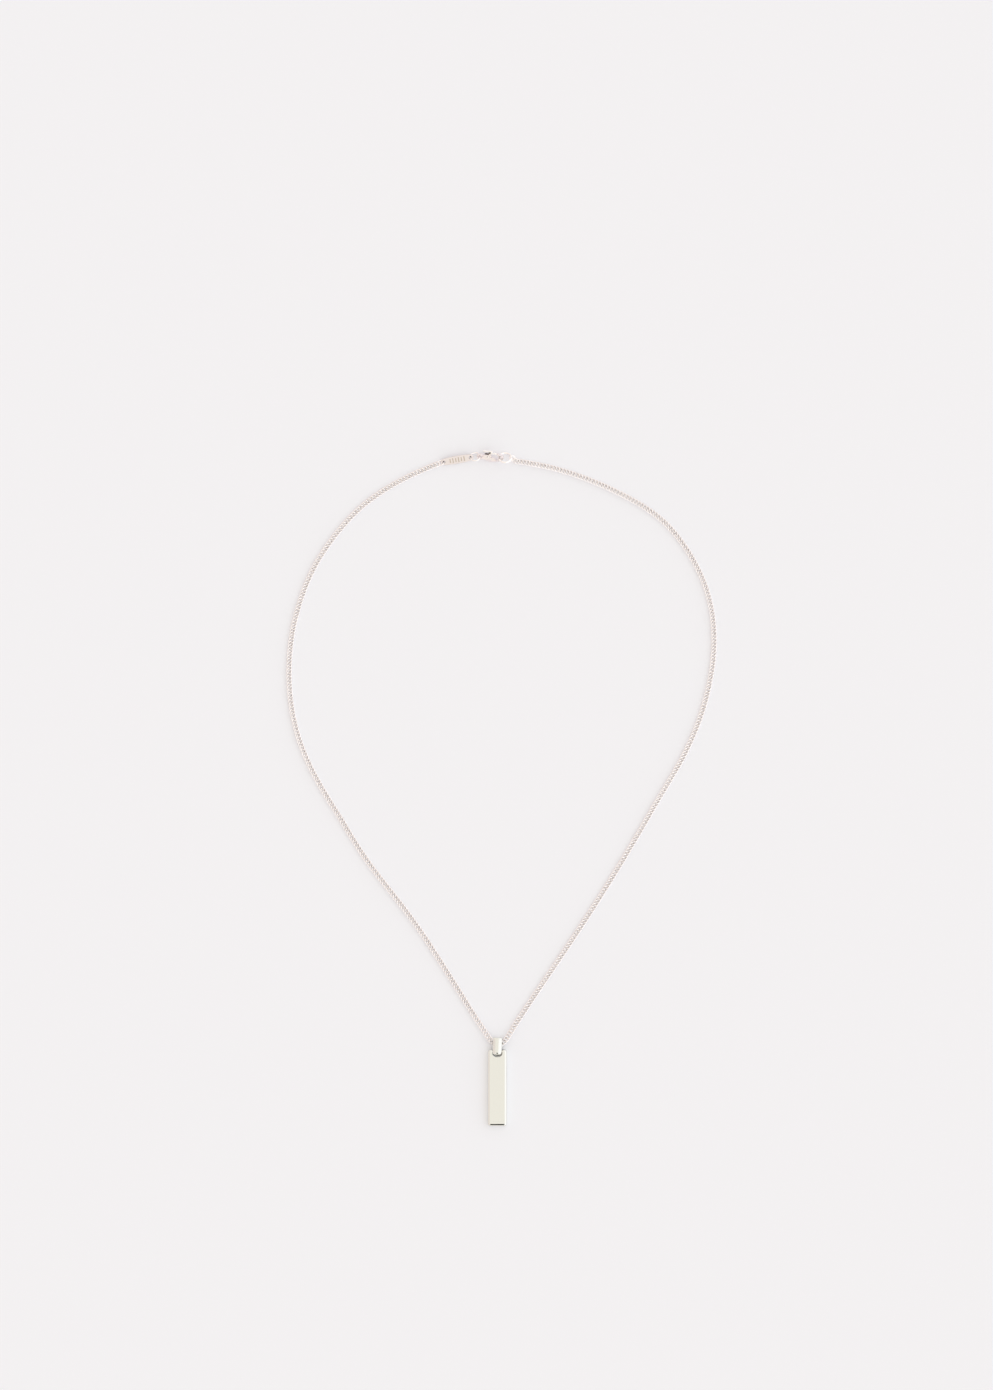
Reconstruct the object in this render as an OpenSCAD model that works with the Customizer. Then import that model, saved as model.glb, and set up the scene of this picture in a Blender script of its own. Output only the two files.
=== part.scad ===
// Dog tag pendant: a slim silver bar on a strap bail, on a fine curb chain
// with a lobster clasp. It lies flat on its back with the chain open, as a
// teardrop. Millimetres, +Z up, +Y from the bar to the clasp.

/* [Bar] */
// Width of the bar
bar_w = 6.4; // [5.6:0.1:9]
// Length of the bar
bar_l = 25.1; // [18:0.1:30]
// Thickness of the bar
bar_t = 2.2; // [2:0.05:2.6]
// Radius that rounds the bar's front edges
bar_edge_r = 0.85; // [0.3:0.05:1]
// Radius of the bar's corners, seen from the front
bar_corner_r = 0.6; // [0.3:0.05:1.2]
// Chamfer round the bar's back
bar_back_c = 0.15; // [0.05:0.05:0.3]
// Width of the notch that the bail sits in
notch_w = 3.8; // [3.7:0.05:4]
// Depth of the notch
notch_d = 2.35; // [2.2:0.05:2.6]
// Diameter of the crossbar in the notch
crossbar_d = 1.1; // [0.8:0.05:1.2]

/* [Bail] */
// Length of the bail's loop
bail_l = 6.1; // [5.8:0.05:6.6]
// Height of the bail's loop above the surface
bail_h = 2.5; // [2.4:0.05:2.8]
// Thickness of the bail's strap
bail_strap = 0.45; // [0.35:0.05:0.5]
// Width of the bail at the chain
bail_top_w = 3.7; // [3.4:0.05:3.8]
// Width of the bail at the crossbar
bail_foot_w = 3.2; // [2.8:0.05:3.4]
// Radius of the domed front of the strap
bail_dome_r = 7; // [5:0.5:20]

/* [Chain] */
// Width of the chain
chain_w = 1.78; // [1.4:0.02:1.8]
// Thickness of the chain
chain_t = 1.04; // [0.8:0.02:1.04]

/* [Name plate] */
// Distance between the plate's two holes
plate_pitch = 8.8; // [8.6:0.05:9]
// Width of the plate
plate_w = 2.6; // [2.2:0.1:3]
// Thickness of the plate
plate_t = 0.5; // [0.4:0.05:0.6]
// Radius of the plate's round ends
plate_end_r = 1; // [0.9:0.05:1.1]
// Radius of the plate's holes
plate_hole_r = 0.55; // [0.5:0.01:0.6]

/* [Clasp] */
// Width of the clasp's claw
claw_w = 3.6; // [3.4:0.05:3.7]
// Length of the claw, from the neck to the nose
claw_l = 7.2; // [7:0.05:7.4]
// Thickness of the claw at its middle
claw_t = 1.4; // [1.2:0.05:1.5]
// Outer radius of the clasp's eye
eye_r = 1.05; // [1:0.05:1.1]
// Radius of the hole in the eye
eye_hole_r = 0.58; // [0.55:0.01:0.62]
// Thickness of the eye
eye_t = 0.8; // [0.7:0.05:0.9]
// Radius of the rivet that the lever turns on
rivet_r = 0.3; // [0.25:0.01:0.35]
// Thickness of the lever
lever_t = 0.5; // [0.4:0.05:0.55]

/* [Rings] */
// Middle radius of the large end ring
end_ring_r = 2.05; // [1.95:0.05:2.1]
// Wire radius of the large end ring
end_wire_r = 0.33; // [0.28:0.01:0.35]
// Middle radius of the ring between the plate and the clasp
link_ring_r = 1.58; // [1.54:0.02:1.62]
// Wire radius of the ring between the plate and the clasp
link_wire_r = 0.22; // [0.18:0.01:0.24]
// Middle radius of the small rings at the chain's ends
small_ring_r = 0.95; // [0.9:0.05:1]
// Wire radius of the small rings at the chain's ends
small_wire_r = 0.2; // [0.16:0.01:0.22]

/* [Hidden] */
$fn = 96;

silver = "gainsboro";
bright_silver = "whitesmoke";
cut = 1;                // how far a cutting shape runs past what it cuts

// Pendant: the bar's bottom end is at pendant_y, its middle at pendant_x.
pendant_x = -1.4;
pendant_y = -110.2;
bar_top_y = pendant_y + bar_l;
seat_gap = 0.05;        // between two pieces that hang on each other
foot_gap = 0.3;         // between the bail's foot and the notch's floor
bail_foot_y = bar_top_y - notch_d + foot_gap;
bail_top_y = bail_foot_y + bail_l;
crossbar_y = bail_foot_y + bail_strap + seat_gap + crossbar_d / 2;

// The chain's route, from the clasp's plate down to the bail and up to the
// end ring. A point with two numbers lies on the surface; a third number
// is the height of the chain's middle.
rest_z = chain_t / 2;
bail_z = 1.2;
route_left = [
    [-21.0, 105.8, 0.75], [-24.1, 104.6], [-31.7, 101.1], [-38.8, 97.0], [-45.4, 92.1],
    [-51.2, 86.3], [-56.2, 80.0], [-60.5, 73.3], [-63.9, 66.1], [-66.4, 58.7],
    [-68.2, 51.1], [-69.1, 43.5], [-69.3, 36.1], [-68.8, 28.8], [-67.6, 21.8],
    [-65.7, 15.0], [-63.0, 8.4], [-59.8, 2.1], [-56.3, -3.8], [-52.6, -9.7],
    [-49.0, -15.7], [-45.1, -21.8], [-40.7, -27.9], [-35.8, -34.1], [-30.6, -40.8],
    [-25.6, -47.8], [-20.6, -55.5], [-15.6, -63.4], [-10.8, -71.1], [-7.8, -76.0, 0.7],
    [-5.5, -79.8, 1.0], [-4.3, -81.8, bail_z], [-3.5, -82.8, bail_z], [-2.5, -83.5, bail_z],
    [pendant_x, -83.7, bail_z],
];
route_right = [
    [-0.3, -83.5, bail_z], [0.7, -82.8, bail_z], [1.5, -81.8, bail_z], [2.8, -79.8, 1.0],
    [5.2, -76.0, 0.7], [8.5, -71.0], [14.0, -62.8], [19.1, -55.3], [24.5, -47.2],
    [30.1, -38.6], [34.9, -31.0], [39.0, -24.3], [42.7, -18.1], [46.2, -12.2],
    [49.4, -6.6], [52.6, -1.2], [55.8, 4.2], [59.0, 9.8], [61.9, 15.8],
    [64.5, 22.2], [66.6, 28.9], [68.2, 36.0], [69.2, 43.5], [69.3, 51.2],
    [68.4, 59.1], [66.2, 66.8], [62.8, 74.1], [58.4, 80.9], [52.9, 87.1],
    [46.3, 92.0], [39.1, 96.0], [31.8, 99.4], [24.2, 102.3], [16.5, 104.6],
    [8.7, 106.2], [4.6, 106.8, 0.8],
];
route = concat(route_left, route_right);
bail_stop = len(route_left) - 1;
chain_sides = 8;

// Clasp: x runs from the eye's middle to the nose, y to the lever's side,
// z through the thickness. The claw's outline is two crossed arcs and a
// round nose; the lever turns about the rivet.
claw_x = 0.55 + claw_l / 2;
claw_arc_r = (pow(claw_l / 2, 2) + pow(claw_w / 2, 2)) / claw_w;
claw_arc_y = claw_arc_r - claw_w / 2;
nose_x = claw_x + 2.6;
nose_r = 0.98;
hook_w = 0.62;          // width of the hook's curved back
arm_w = 0.55;           // width of the lever's arm
rivet_at = [2.75, 0.35];
tip_r = 2.95;           // how far the lever's tip is from the rivet
tip_gap = 0.06;
hub_r = 0.75;
hub_gap = 0.12;
throat_x = 3.7;         // where the claw opens
throat_end_x = 6.25;    // middle of its round end, at the nose
throat_end_r = 0.62;
step_at = [1.1, 1.0];   // corner of the step under the thumb piece
thumb_at = [2.85, 1.76]; // middle of the thumb piece
thumb_l = 2.4;
thumb_r = 0.26;
thumb_t = 1.1;          // width of the thumb piece, over both cheeks
bore_gap = 0.02;
hub_bore_gap = 0.03;
lever_gap = 0.05;       // between the lever and each cheek
claw_thick_x = 3;       // where the claw is thickest
claw_long_r = 37;       // how the claw thins towards both ends
long_fn = 720;          // sides of that long shallow arc
claw_dome_r = 4.2;      // how the claw thins towards both edges
rivet_proud = 0.04;

// Where each piece of the fastening lies: [place, heading, pitch, roll].
// The pieces lean against each other in turn, as linked rings do.
function turn_x(p, a) = [p[0], p[1] * cos(a) - p[2] * sin(a), p[1] * sin(a) + p[2] * cos(a)];
function turn_y(p, a) = [p[0] * cos(a) + p[2] * sin(a), p[1], p[2] * cos(a) - p[0] * sin(a)];
function turn_z(p, a) = [p[0] * cos(a) - p[1] * sin(a), p[0] * sin(a) + p[1] * cos(a), p[2]];
function on(lie, p) = lie[0] + turn_z(turn_y(turn_x(p, lie[3]), lie[2]), lie[1]);
function ring_lie(start, reach, turn) = [
    on([start, turn[0], turn[1], turn[2]], [reach, 0, 0]), turn[0], turn[1], turn[2]
];

plate_lie = [[-14.5, 107.3, 1.0], 9.7, -1.3, 20];
clasp_lie = [[-7.0, 108.4, 1.22], -4, -4, 36];
catch_at = [6.15, 0, 0]; // where the end ring's wire goes through the claw
link_lie = [(on(plate_lie, [plate_pitch / 2, 0, 0]) + clasp_lie[0]) / 2, 7, -2, -32];
end_lie = ring_lie(on(clasp_lie, catch_at), end_ring_r, [-2, -2.5, -40]);
left_lie = ring_lie(on(plate_lie, [-plate_pitch / 2, 0, 0]), -small_ring_r, [18, -4, -38]);
right_lie = ring_lie(on(end_lie, [end_ring_r, 0, 0]), 0.28, [-20, 27, 32]);

module lay(lie) {
    translate(lie[0]) rotate([0, 0, lie[1]]) rotate([0, lie[2], 0]) rotate([lie[3], 0, 0])
        children();
}

// Section of a slab w wide and h high on y = 0: round upper corners, chamfered
// lower ones.
module slab_section(w, h, r, c) {
    polygon([
        [-w / 2 + c, 0], [w / 2 - c, 0], [w / 2, c], [w / 2, h - r], [-w / 2, h - r], [-w / 2, c],
    ]);
    translate([-w / 2 + r, h - r]) circle(r);
    translate([w / 2 - r, h - r]) circle(r);
    translate([-w / 2 + r, h - r]) square([w - 2 * r, r]);
}

module rounded_plan(w, l, r) {
    translate([-w / 2 + r, 0]) square([w - 2 * r, l]);
    translate([-w / 2, r]) square([w, l - 2 * r]);
    for (x = [-w / 2 + r, w / 2 - r], y = [r, l - r]) translate([x, y]) circle(r);
}

module stadium(l, r) {
    square([l - 2 * r, 2 * r], center = true);
    for (x = [-1, 1]) translate([x * (l / 2 - r), 0]) circle(r);
}

module wire_ring(mid_r, wire_r) {
    rotate_extrude() translate([mid_r, 0]) circle(wire_r);
}

// Bar with its notch and crossbar
module bar() {
    color(bright_silver) {
        translate([pendant_x, pendant_y, 0]) difference() {
            intersection() {
                translate([0, bar_l, 0]) rotate([90, 0, 0]) linear_extrude(bar_l)
                    slab_section(bar_w, bar_t, bar_edge_r, bar_back_c);
                translate([-bar_w / 2, bar_l / 2, 0]) rotate([90, 0, 90]) linear_extrude(bar_w)
                    slab_section(bar_l, bar_t, bar_edge_r, bar_back_c);
                linear_extrude(bar_t) rounded_plan(bar_w, bar_l, bar_corner_r);
            }
            translate([-notch_w / 2, bar_l - notch_d, -cut]) cube([notch_w, notch_d + cut, bar_t + 2 * cut]);
        }
        translate([pendant_x - (notch_w / 2 + cut / 2), crossbar_y, bail_h / 2]) rotate([0, 90, 0])
            cylinder(d = crossbar_d, h = notch_w + cut);
    }
}

// Strap bail: a flat loop seen from the side, wider at the chain
module bail() {
    color(silver) translate([pendant_x, bail_foot_y, 0]) intersection() {
        translate([-bail_top_w / 2, bail_l / 2, bail_h / 2]) rotate([90, 0, 90])
            linear_extrude(bail_top_w) difference() {
                stadium(bail_l, bail_h / 2);
                stadium(bail_l - 2 * bail_strap, bail_h / 2 - bail_strap);
            }
        linear_extrude(bail_h) polygon([
            [-bail_foot_w / 2, 0], [bail_foot_w / 2, 0], [bail_top_w / 2, bail_l], [-bail_top_w / 2, bail_l],
        ]);
        translate([0, bail_l, bail_h - bail_dome_r]) rotate([90, 0, 0]) cylinder(r = bail_dome_r, h = bail_l);
    }
}

// The chain's outer form: an eight-sided sleeve swept along the route
function height(p) = len(p) > 2 ? p[2] : rest_z;
function stop_at(k) = [route[k][0], route[k][1], height(route[k])];
function heading(k) = stop_at(min(k + 1, len(route) - 1)) - stop_at(max(k - 1, 0));
function unit(v) = v / norm(v);
function sleeve_ring(k) = let (
    along = unit(heading(k)),
    side = unit(cross(along, [0, 0, 1])),
    up = cross(side, along),
    spread = 1 / cos(180 / chain_sides)
) [
    for (j = [0 : chain_sides - 1]) let (a = 360 * (j + 0.5) / chain_sides)
        stop_at(k) + spread * (side * chain_w / 2 * cos(a) + up * chain_t / 2 * sin(a))
];

module sleeve(first, last) {
    count = last - first;
    points = [for (k = [first : last]) each sleeve_ring(k)];
    walls = [
        for (k = [0 : count - 1], j = [0 : chain_sides - 1]) let (next = (j + 1) % chain_sides)
            [k * chain_sides + j, k * chain_sides + next, (k + 1) * chain_sides + next, (k + 1) * chain_sides + j]
    ];
    start = [for (j = [chain_sides - 1 : -1 : 0]) j];
    end = [for (j = [0 : chain_sides - 1]) count * chain_sides + j];
    polyhedron(points, concat([start], walls, [end]));
}

module chain_left() {
    color(silver) sleeve(0, bail_stop);
}

module chain_right() {
    color(silver) sleeve(bail_stop, len(route) - 1);
}

// Small plate between the chain and the clasp
module name_plate() {
    half = plate_pitch / 2;
    shoulder_x = 2.3;
    color(bright_silver) lay(plate_lie) translate([0, 0, -plate_t / 2]) difference() {
        linear_extrude(plate_t) {
            polygon([
                [-half, -plate_end_r], [-shoulder_x, -plate_w / 2], [shoulder_x, -plate_w / 2], [half, -plate_end_r],
                [half, plate_end_r], [shoulder_x, plate_w / 2], [-shoulder_x, plate_w / 2], [-half, plate_end_r],
            ]);
            for (x = [-half, half]) translate([x, 0]) circle(plate_end_r);
        }
        for (x = [-half, half]) translate([x, 0, -cut]) cylinder(r = plate_hole_r, h = plate_t + 2 * cut);
    }
}

// Plan of the closed claw, lever and all
module claw_plan() {
    intersection() {
        translate([claw_x, claw_arc_y]) circle(claw_arc_r);
        translate([claw_x, -claw_arc_y]) circle(claw_arc_r);
        translate([0, -claw_w / 2]) square([nose_x, claw_w]);
    }
    translate([nose_x, 0]) circle(nose_r);
}

// What is open in the claw: a space with two curved sides and a round end, and
// above it the room for the lever, whose tip meets the hook's beak
module throat_plan() {
    translate([throat_end_x, 0]) circle(throat_end_r);
    intersection() {
        translate([claw_x, claw_arc_y]) circle(claw_arc_r - hook_w);
        union() {
            translate([claw_x, -claw_arc_y]) circle(claw_arc_r - arm_w);
            translate(rivet_at) circle(tip_r + tip_gap);
        }
        translate([throat_x, -claw_w]) square([claw_l, 2 * claw_w]);
    }
}

// Domed on both faces and thinner at both ends
module claw_dome() {
    intersection_for (side = [0, 1]) mirror([0, 0, side]) intersection() {
        translate([0, 0, claw_t / 2 - claw_dome_r])
            rotate([0, 90, 0]) cylinder(r = claw_dome_r, h = claw_l + 2 * eye_r);
        translate([claw_thick_x, claw_w, claw_t / 2 - claw_long_r])
            rotate([90, 0, 0]) cylinder(r = claw_long_r, h = 2 * claw_w, $fn = long_fn);
    }
}

module clasp_body() {
    slot_t = lever_t + 2 * lever_gap;
    color(silver) lay(clasp_lie) difference() {
        union() {
            intersection() {
                translate([0, 0, -claw_t]) linear_extrude(2 * claw_t) claw_plan();
                claw_dome();
            }
            translate([0, 0, -eye_t / 2]) cylinder(r = eye_r, h = eye_t);
        }
        translate([0, 0, -claw_t]) linear_extrude(2 * claw_t) {
            throat_plan();
            circle(eye_hole_r);
            translate(step_at) square([throat_x - step_at[0] + cut, claw_w]);
            translate(rivet_at) circle(rivet_r + bore_gap);
        }
        translate([0, 0, -slot_t / 2]) linear_extrude(slot_t) {
            translate(rivet_at) circle(hub_r + hub_gap);
            translate(rivet_at - [hub_r + hub_gap, 0]) square([throat_x - rivet_at[0] + hub_r + cut, claw_w]);
            translate(rivet_at - [0, hub_r + hub_gap]) square([throat_x - rivet_at[0] + cut, hub_r + cut]);
        }
    }
}

module clasp_rivet() {
    long = claw_t + 2 * rivet_proud;
    color(bright_silver) lay(clasp_lie) translate([rivet_at[0], rivet_at[1], -long / 2])
        cylinder(r = rivet_r, h = long);
}

// Lever: a hub, a curved arm whose tip meets the hook's beak, and the thumb
// piece across its top
module lever_plan() {
    difference() {
        intersection() {
            claw_plan();
            translate(rivet_at) circle(tip_r);
            translate(rivet_at) square([claw_l, claw_w]);
        }
        difference() {
            translate([claw_x, -claw_arc_y]) circle(claw_arc_r - arm_w);
            translate([0, -claw_w]) square([throat_x, 2 * claw_w]);
        }
    }
    translate(rivet_at) circle(hub_r);
}

module clasp_lever() {
    color(bright_silver) lay(clasp_lie) {
        translate([0, 0, -lever_t / 2]) linear_extrude(lever_t) difference() {
            lever_plan();
            translate(rivet_at) circle(rivet_r + hub_bore_gap);
        }
        translate([thumb_at[0], thumb_at[1], -thumb_t / 2]) linear_extrude(thumb_t) stadium(thumb_l, thumb_r);
    }
}

module end_ring() {
    color(bright_silver) lay(end_lie) wire_ring(end_ring_r, end_wire_r);
}

module link_ring() {
    color(silver) lay(link_lie) wire_ring(link_ring_r, link_wire_r);
}

module chain_ring_left() {
    color(silver) lay(left_lie) wire_ring(small_ring_r, small_wire_r);
}

module chain_ring_right() {
    color(silver) lay(right_lie) wire_ring(small_ring_r, small_wire_r);
}

bar();
bail();
chain_left();
chain_right();
chain_ring_left();
name_plate();
link_ring();
clasp_body();
clasp_rivet();
clasp_lever();
end_ring();
chain_ring_right();
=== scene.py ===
"""Looks of the dog tag pendant: silver bar, bail, curb chain and lobster clasp, laid flat on a pale board."""

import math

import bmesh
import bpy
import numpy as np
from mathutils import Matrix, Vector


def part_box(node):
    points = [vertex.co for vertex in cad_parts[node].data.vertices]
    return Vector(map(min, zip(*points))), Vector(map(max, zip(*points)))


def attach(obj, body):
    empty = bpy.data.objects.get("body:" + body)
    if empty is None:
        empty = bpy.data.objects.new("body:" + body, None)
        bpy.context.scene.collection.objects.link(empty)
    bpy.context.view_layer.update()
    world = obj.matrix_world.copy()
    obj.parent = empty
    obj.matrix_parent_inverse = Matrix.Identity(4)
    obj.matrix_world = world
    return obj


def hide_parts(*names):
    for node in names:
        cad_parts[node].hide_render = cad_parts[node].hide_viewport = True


bl_info = {
    "name": "Dog tag pendant",
    "version": (1, 0, 0),
    "blender": (4, 5, 0),
    "location": "3D View > Sidebar > Pendant",
    "description": "Builds a silver bar pendant on a curb chain, and the board that it lies on",
    "category": "Add Mesh",
}

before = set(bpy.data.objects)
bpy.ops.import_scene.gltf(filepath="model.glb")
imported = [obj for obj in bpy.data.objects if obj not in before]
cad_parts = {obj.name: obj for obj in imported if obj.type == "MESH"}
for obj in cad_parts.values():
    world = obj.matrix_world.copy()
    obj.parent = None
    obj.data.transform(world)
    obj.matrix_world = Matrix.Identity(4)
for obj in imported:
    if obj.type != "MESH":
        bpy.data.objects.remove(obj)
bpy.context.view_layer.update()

MM = 0.001

# The photograph's frame: its height in pixels, what one pixel is, and the point of the board at its middle.
PHOTO_HEIGHT = 1390
PIXEL = 0.3264 * MM
PHOTO_MIDDLE = Vector((-1.66 * MM, 30.5 * MM, 0))

# Where the pendant hangs, as the solids have it.
BAR_LOW, BAR_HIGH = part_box("bar")
BAIL_LOW, BAIL_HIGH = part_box("bail")
PENDANT_X = (BAR_LOW.x + BAR_HIGH.x) / 2

# Where the name plate and the clasp lie: the middle of each, then its heading, pitch and roll in degrees. The
# clasp's middle is that of its eye, its +X runs to the nose and its +Y to the lever's side.
PLATE_LIE = (-14.5 * MM, 107.3 * MM, 1.0 * MM), (9.7, -1.3, 20)
CLASP_LIE = (-7.0 * MM, 108.4 * MM, 1.22 * MM), (-4, -4, 36)

# The chain's route in metres, from the plate down to the bail and up to the end ring. Two numbers are a point
# on the board, and a third is the height of the chain's middle.
BAIL_Z = 0.0012
ROUTE_LEFT = [
    (-0.0210, 0.1058, 0.00075), (-0.0241, 0.1046), (-0.0317, 0.1011), (-0.0388, 0.0970), (-0.0454, 0.0921),
    (-0.0512, 0.0863), (-0.0562, 0.0800), (-0.0605, 0.0733), (-0.0639, 0.0661), (-0.0664, 0.0587),
    (-0.0682, 0.0511), (-0.0691, 0.0435), (-0.0693, 0.0361), (-0.0688, 0.0288), (-0.0676, 0.0218),
    (-0.0657, 0.0150), (-0.0630, 0.0084), (-0.0598, 0.0021), (-0.0563, -0.0038), (-0.0526, -0.0097),
    (-0.0490, -0.0157), (-0.0451, -0.0218), (-0.0407, -0.0279), (-0.0358, -0.0341), (-0.0306, -0.0408),
    (-0.0256, -0.0478), (-0.0206, -0.0555), (-0.0156, -0.0634), (-0.0108, -0.0711),
    (-0.0078, -0.0760, 0.0007), (-0.0055, -0.0798, 0.0010), (-0.0043, -0.0818, BAIL_Z),
    (-0.0035, -0.0828, BAIL_Z), (-0.0025, -0.0835, BAIL_Z), (-0.0014, -0.0837, BAIL_Z),
]
ROUTE_RIGHT = [
    (-0.0003, -0.0835, BAIL_Z), (0.0007, -0.0828, BAIL_Z), (0.0015, -0.0818, BAIL_Z),
    (0.0028, -0.0798, 0.0010), (0.0052, -0.0760, 0.0007),
    (0.0085, -0.0710), (0.0140, -0.0628), (0.0191, -0.0553), (0.0245, -0.0472),
    (0.0301, -0.0386), (0.0349, -0.0310), (0.0390, -0.0243), (0.0427, -0.0181), (0.0462, -0.0122),
    (0.0494, -0.0066), (0.0526, -0.0012), (0.0558, 0.0042), (0.0590, 0.0098), (0.0619, 0.0158),
    (0.0645, 0.0222), (0.0666, 0.0289), (0.0682, 0.0360), (0.0692, 0.0435), (0.0693, 0.0512),
    (0.0684, 0.0591), (0.0662, 0.0668), (0.0628, 0.0741), (0.0584, 0.0809), (0.0529, 0.0871),
    (0.0463, 0.0920), (0.0391, 0.0960), (0.0318, 0.0994), (0.0242, 0.1023), (0.0165, 0.1046),
    (0.0087, 0.1062), (0.0046, 0.1068, 0.0008),
]

# The links run on a little past the route's right end, to the first point here. The last of them lies apart, to
# reach through its jump ring: its middle, then its heading, pitch and roll in degrees.
HOOK_START = (0.0044, 0.1070, 0.00096)
HOOK_LIE = (4.22 * MM, 107.06 * MM, 1.06 * MM), (141.7, -21.0, 0.6)


def length(name, description, default):
    """A length in metres that a user can change."""
    return bpy.props.FloatProperty(
        name=name,
        description=description,
        default=default,
        min=0.0,
        precision=5,
        subtype="DISTANCE",
        unit="LENGTH",
    )


def angle(name, description, degrees):
    """An angle that a user can change."""
    return bpy.props.FloatProperty(
        name=name, description=description, default=math.radians(degrees), subtype="ANGLE"
    )


def colour(name, description, default):
    """A colour that a user can change, as an sRGB hex value."""
    return bpy.props.StringProperty(name=name, description=description, default=default)


class BarSettings(bpy.types.PropertyGroup):
    """The bar and its notch."""

    edge_radius: length("Edge radius", "Radius that rounds the front edges", 0.85 * MM)
    corner_radius: length("Corner radius", "Radius of the corners, seen from the front", 0.95 * MM)
    back_chamfer: length("Back chamfer", "Chamfer round the back", 0.15 * MM)
    notch_width: length("Notch width", "Width of the notch that the bail sits in", 3.3 * MM)
    notch_depth: length("Notch depth", "Depth of the notch", 2.45 * MM)
    notch_radius: length("Notch radius", "Radius of the notch's two corners", 1.3 * MM)
    crossbar: length("Crossbar", "Diameter of the crossbar in the notch", 1.1 * MM)
    crossbar_set: length("Crossbar set", "How far each of its ends is set into the notch's walls", 0.5 * MM)
    softening: length("Softening", "How much polishing has rounded the sharp edges", 0.12 * MM)


class BailSettings(bpy.types.PropertyGroup):
    """The bail's strap."""

    strap: length("Strap", "Thickness of the strap", 0.45 * MM)
    top_width: length("Top width", "Width at the chain", 2.95 * MM)
    foot_width: length("Foot width", "Width at the crossbar", 2.85 * MM)
    shift: length("Shift", "How far its foot sits left of the notch's middle", 0.12 * MM)
    foot_radius: length("Foot radius", "Outer radius of the bends at the foot", 1.2 * MM)
    crown: length("Crown", "How much higher the strap's middle is than its edges", 0.24 * MM)
    softening: length("Softening", "How much polishing has rounded its edges", 0.05 * MM)
    lean: angle("Lean", "How far its top leans to the right", 2.5)
    room: length("Room", "Room between its foot and the crossbar", 0.16 * MM)


class ChainSettings(bpy.types.PropertyGroup):
    """The curb chain's links."""

    pitch: length("Pitch", "Distance from one link to the next", 1.11 * MM)
    wire: length("Wire", "Diameter of the links' wire", 0.38 * MM)
    half_length: length("Half length", "Half of a link's length, to the middle of its wire", 0.79 * MM)
    half_width: length("Half width", "Half of a link's width, to the middle of its wire", 0.78 * MM)
    flat: length("Flat", "Height of the polished flats above the chain's middle", 0.475 * MM)
    twist: angle("Twist", "Twist of a link from end to end", 62)
    roll: angle("Roll", "How far the links' faces turn to the light", 14)
    squareness: bpy.props.FloatProperty(
        name="Squareness", description="2 for an oval link, more for a squarer one", default=2.668, min=2.0
    )


class FinishSettings(bpy.types.PropertyGroup):
    """Colours, as sRGB hex values."""

    bar: colour("Bar", "Colour of the polished bar", "#EBEBE7")
    chain: colour("Chain", "Colour of the tumbled chain", "#FFFBFA")
    plate: colour("Plate", "Colour of the satin name plate", "#EBE2E0")
    clasp: colour("Clasp", "Colour of the cast clasp", "#F5ECEC")
    board: colour("Board", "Colour of the board", "#EEEFF4")


class LightSettings(bpy.types.PropertyGroup):
    """The studio light."""

    tent: bpy.props.FloatProperty(name="Tent", description="Brightness of the tent", default=1.2, min=0.0)
    camera_height: length("Camera height", "Height of the camera above the board", 2.5)


def linear(hex_colour):
    """Turns an sRGB hex colour into the linear RGBA that Blender's sockets take."""
    parts = [int(hex_colour[i : i + 2], 16) / 255 for i in (1, 3, 5)]
    return [c / 12.92 if c <= 0.04045 else ((c + 0.055) / 1.055) ** 2.4 for c in parts] + [1.0]


def add_node(tree, kind, links=None, **settings):
    """Adds a node. A setting named for an input goes to that socket, any other to the node itself."""
    node = tree.nodes.new(kind)
    for name, value in settings.items():
        if name in node.inputs:
            node.inputs[name].default_value = value
        else:
            setattr(node, name, value)
    for socket, source in (links or {}).items():
        tree.links.new(source, node.inputs[socket])
    return node


def empty_material(name):
    """A new material with nothing but its output."""
    material = bpy.data.materials.new(name)
    material.use_nodes = True
    material.node_tree.nodes.clear()
    return material, material.node_tree


# The size of the patches that polishing leaves a little glossier or duller, down to hairlines a sixteenth as
# wide, and the size of the slow waves of a surface that was finished by hand.
HAIRLINE_PATCH = 0.25 * MM
HAND_WAVE = 1.6 * MM


def silver(name, hex_colour, roughness, scratch, ripple):
    """Sterling silver: a metal whose roughness varies by the scratch given, and its height by the ripple."""
    material, tree = empty_material(name)
    place = add_node(tree, "ShaderNodeTexCoord")
    where = {"Vector": place.outputs["Object"]}
    hairlines = add_node(tree, "ShaderNodeTexNoise", where, Scale=1 / HAIRLINE_PATCH, Detail=4.0)
    gloss = add_node(
        tree,
        "ShaderNodeMapRange",
        {"Value": hairlines.outputs["Fac"]},
        **{"From Min": 0.3, "From Max": 0.7, "To Min": roughness - scratch, "To Max": roughness + scratch},
    )
    waves = add_node(tree, "ShaderNodeTexNoise", where, Scale=1 / HAND_WAVE, Detail=2.0)
    bump = add_node(tree, "ShaderNodeBump", {"Height": waves.outputs["Fac"]}, Strength=1.0, Distance=ripple)
    shader = add_node(
        tree,
        "ShaderNodeBsdfPrincipled",
        {"Roughness": gloss.outputs["Result"], "Normal": bump.outputs["Normal"]},
        **{"Base Color": linear(hex_colour), "Metallic": 1.0},
    )
    add_node(tree, "ShaderNodeOutputMaterial", {"Surface": shader.outputs["BSDF"]})
    return material


def add_mesh(name, points, faces):
    """A mesh object from points in metres."""
    mesh = bpy.data.meshes.new(name)
    mesh.from_pydata([tuple(p) for p in points], [], faces)
    mesh.update()
    piece = bpy.data.objects.new(name, mesh)
    bpy.context.scene.collection.objects.link(piece)
    return piece


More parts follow.
